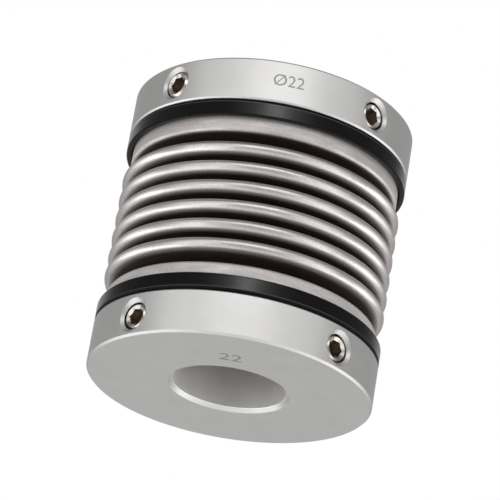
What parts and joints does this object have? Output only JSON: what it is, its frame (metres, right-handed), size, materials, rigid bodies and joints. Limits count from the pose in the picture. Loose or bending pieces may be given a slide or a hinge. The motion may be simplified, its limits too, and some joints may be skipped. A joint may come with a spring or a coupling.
{
  "type": "metal bellows shaft coupling",
  "caption": "Torsionally stiff shaft coupling: bored hubs with radial set screws, joined by a corrugated metal bellows whose cuffs sit under black clamp rings.",
  "frame": {"origin": "centre of the lower hub's outer face, on the shafts' common axis; the coupling stands on this face", "axes": "+Z along the shafts' common axis towards the upper hub; +X through set screw 1 of each hub; -Y through set screw 2 of each hub"},
  "size_m": [0.055, 0.055, 0.057],
  "materials": {
    "hub_aluminium": "matte silver anodised, bright on its chamfers",
    "clamp_ring_black": "black anodised, satin",
    "bellows_steel": "satin stainless steel, fine grain round the crests",
    "screw_steel": "polished nickel plate"
  },
  "bodies": {
    "lower_end": {"lower_hub": "hub_aluminium", "lower_clamp_ring": "clamp_ring_black", "lower_bellows_cuff": "bellows_steel"},
    "convolution_1": {"bellows_convolution_1": "bellows_steel"},
    "convolution_2": {"bellows_convolution_2": "bellows_steel"},
    "convolution_3": {"bellows_convolution_3": "bellows_steel"},
    "convolution_4": {"bellows_convolution_4": "bellows_steel"},
    "convolution_5": {"bellows_convolution_5": "bellows_steel"},
    "upper_end": {"bellows_convolution_6": "bellows_steel", "upper_bellows_cuff": "bellows_steel", "upper_clamp_ring": "clamp_ring_black", "upper_hub": "hub_aluminium"},
    "lower_screw_1": {"lower_set_screw_1": "screw_steel"},
    "lower_screw_2": {"lower_set_screw_2": "screw_steel"},
    "upper_screw_1": {"upper_set_screw_1": "screw_steel"},
    "upper_screw_2": {"upper_set_screw_2": "screw_steel"}
  },
  "joints": [
    {"name": "lower_bend_x", "type": "hinge", "parent": "lower_end", "child": "convolution_1", "pos_m": [0, 0, 0.0185], "axis": [1, 0, 0], "range_deg": [-1, 1], "stiffness_Nm_per_rad": 26, "deforming": ["bellows_convolution_1"]},
    {"name": "lower_bend_y", "type": "hinge", "parent": "convolution_1", "child": "convolution_2", "pos_m": [0, 0, 0.0225], "axis": [0, 1, 0], "range_deg": [-1, 1], "stiffness_Nm_per_rad": 26, "deforming": ["bellows_convolution_2"]},
    {"name": "axial_stretch", "type": "slide", "parent": "convolution_2", "child": "convolution_3", "axis": [0, 0, 1], "range_m": [-0.0005, 0.0005], "stiffness_N_per_m": 100000, "deforming": ["bellows_convolution_3"]},
    {"name": "axial_stretch_shared", "type": "slide", "parent": "convolution_3", "child": "convolution_4", "axis": [0, 0, 1], "range_m": [-0.0005, 0.0005], "stiffness_N_per_m": 100000, "deforming": ["bellows_convolution_4"]},
    {"name": "upper_bend_x", "type": "hinge", "parent": "convolution_4", "child": "convolution_5", "pos_m": [0, 0, 0.0345], "axis": [1, 0, 0], "range_deg": [-1, 1], "stiffness_Nm_per_rad": 26, "deforming": ["bellows_convolution_5"]},
    {"name": "upper_bend_y", "type": "hinge", "parent": "convolution_5", "child": "upper_end", "pos_m": [0, 0, 0.0385], "axis": [0, 1, 0], "range_deg": [-1, 1], "stiffness_Nm_per_rad": 26, "deforming": ["bellows_convolution_6"]},
    {"name": "lower_screw_1_travel", "type": "slide", "parent": "lower_end", "child": "lower_screw_1", "axis": [1, 0, 0], "range_m": [-0.0038, 0.0025]},
    {"name": "lower_screw_2_travel", "type": "slide", "parent": "lower_end", "child": "lower_screw_2", "axis": [0, -1, 0], "range_m": [-0.0038, 0.0025]},
    {"name": "upper_screw_1_travel", "type": "slide", "parent": "upper_end", "child": "upper_screw_1", "axis": [1, 0, 0], "range_m": [-0.0037, 0.0025]},
    {"name": "upper_screw_2_travel", "type": "slide", "parent": "upper_end", "child": "upper_screw_2", "axis": [0, -1, 0], "range_m": [-0.0041, 0.0025]}
  ],
  "couplings": [
    {"joint": "axial_stretch_shared", "follows": "axial_stretch", "ratio": 1}
  ]
}
